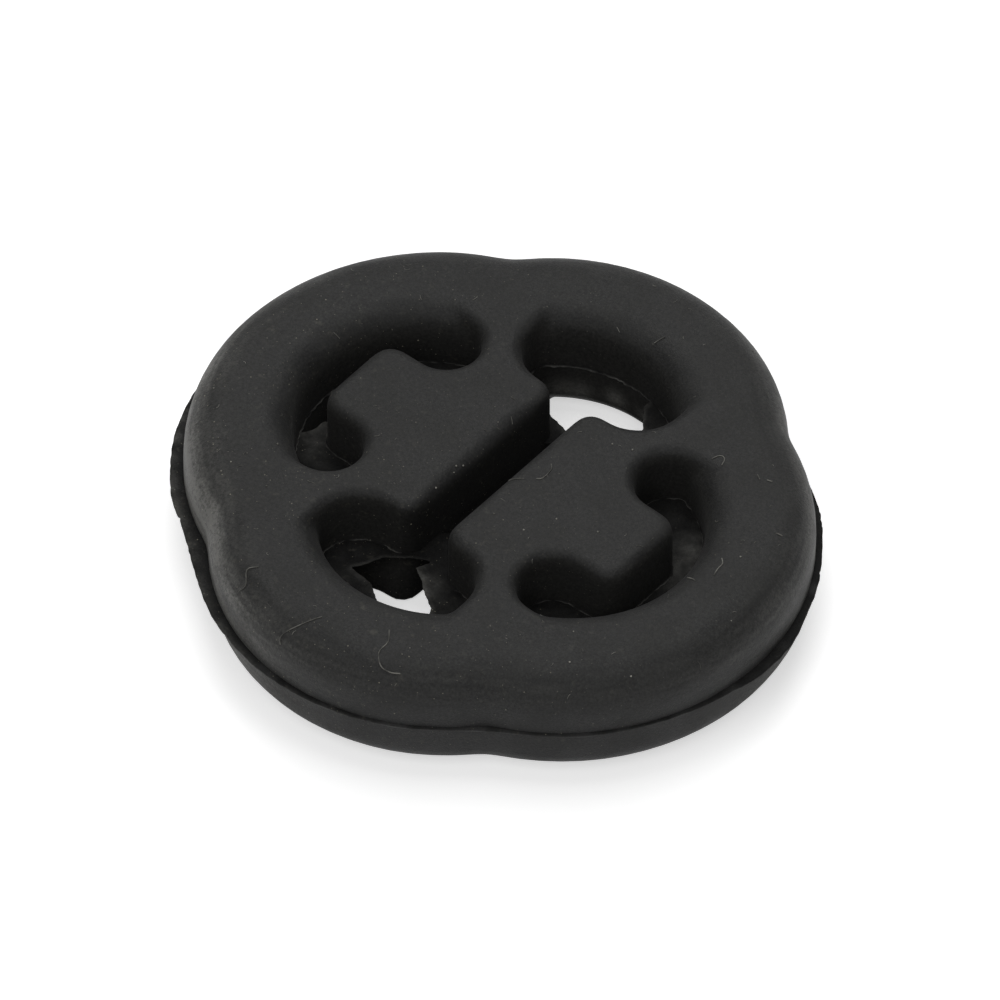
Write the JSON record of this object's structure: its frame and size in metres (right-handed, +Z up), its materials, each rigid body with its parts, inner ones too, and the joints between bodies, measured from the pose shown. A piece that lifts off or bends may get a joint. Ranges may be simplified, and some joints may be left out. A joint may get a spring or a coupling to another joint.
{
  "type": "exhaust hanger rubber",
  "caption": "Moulded rubber exhaust hanger: a lobed ring round flat stop pads, with oval eyes for the hook rods, a slot between the pads and curved side windows.",
  "frame": {"origin": "middle of the block: halfway between the two flat faces, between the pads and between the eyes", "axes": "+X from pad to pad, +Y from eye to eye, +Z up through the thickness, along the hook rods"},
  "size_m": [0.0802, 0.0761, 0.016],
  "materials": {
    "rubber": "matt charcoal moulded rubber with a faint dusty bloom"
  },
  "bodies": {
    "root": {"hanger_rubber": "rubber"}
  },
  "joints": []
}
